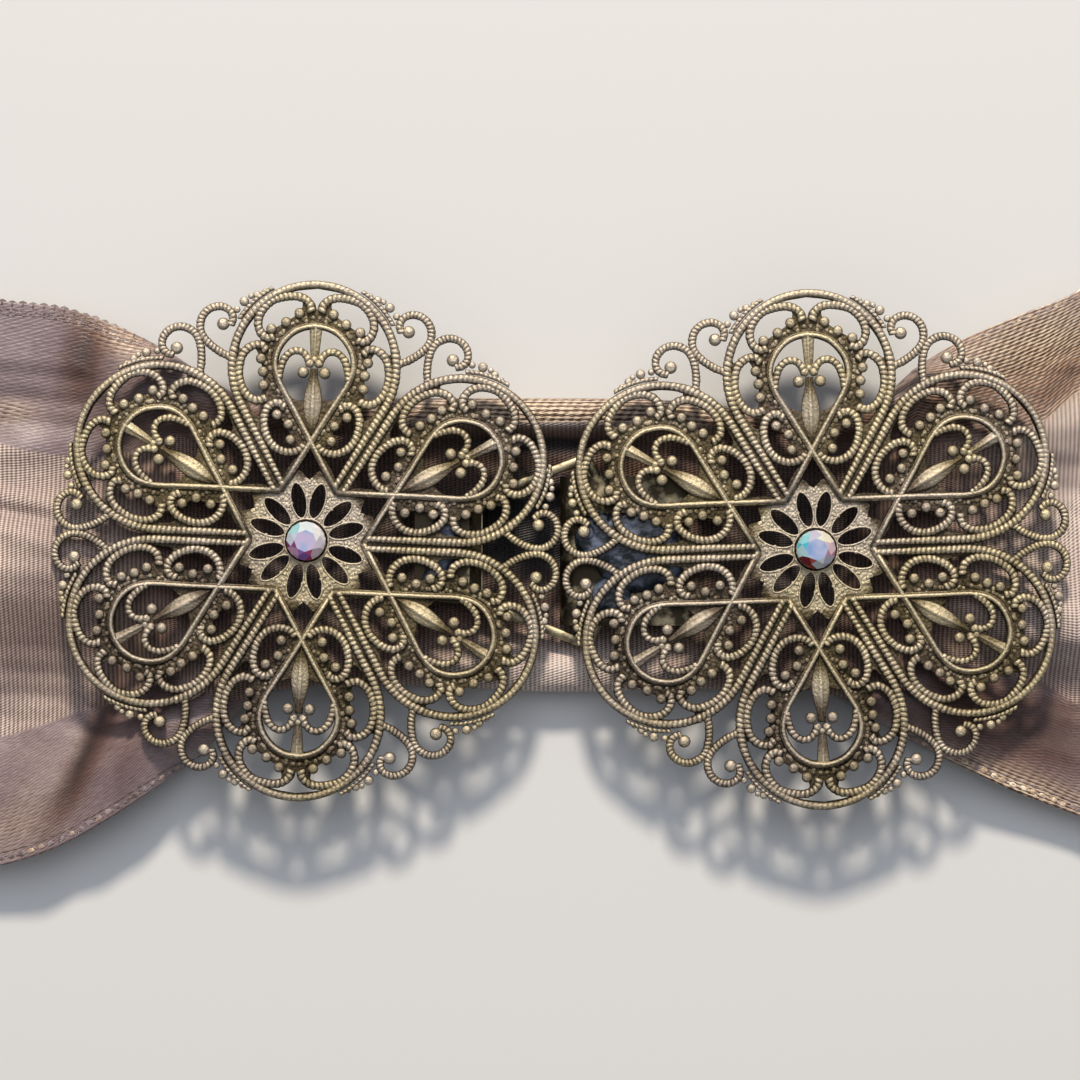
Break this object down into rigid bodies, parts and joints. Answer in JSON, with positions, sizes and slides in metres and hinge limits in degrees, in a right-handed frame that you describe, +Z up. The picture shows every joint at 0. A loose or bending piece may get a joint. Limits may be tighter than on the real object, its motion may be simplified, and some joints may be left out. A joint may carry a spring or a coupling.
{
  "type": "ribbon clasp with two filigree medallions",
  "caption": "Hook-and-frame clasp under paired antique-brass filigree medallions with crystals, fastened on a folded ribbon band.",
  "frame": {"origin": "middle of the part's bounding box in plan, on the surface that the ribbon lies on", "axes": "+X along the ribbon towards the hook half's end, +Y across the ribbon, +Z up out of the medallions' faces"},
  "size_m": [0.114, 0.0598, 0.0089],
  "materials": {
    "antique_brass": "antiqued stamped brass, dark in the recesses",
    "clasp_metal": "antiqued sheet brass, dull",
    "glue": "dried blue-grey glue, satin",
    "crystal": "foiled crystal with an iridescent coating",
    "ribbon": "satin bands beside a ribbed band, dusty mauve"
  },
  "bodies": {
    "root": {"ribbon": "ribbon", "eye_frame": "clasp_metal", "hook_plate": "clasp_metal", "glue_left": "glue", "glue_right": "glue", "medallion_left": "antique_brass", "medallion_right": "antique_brass", "stone_left": "crystal", "stone_right": "crystal"}
  },
  "joints": []
}
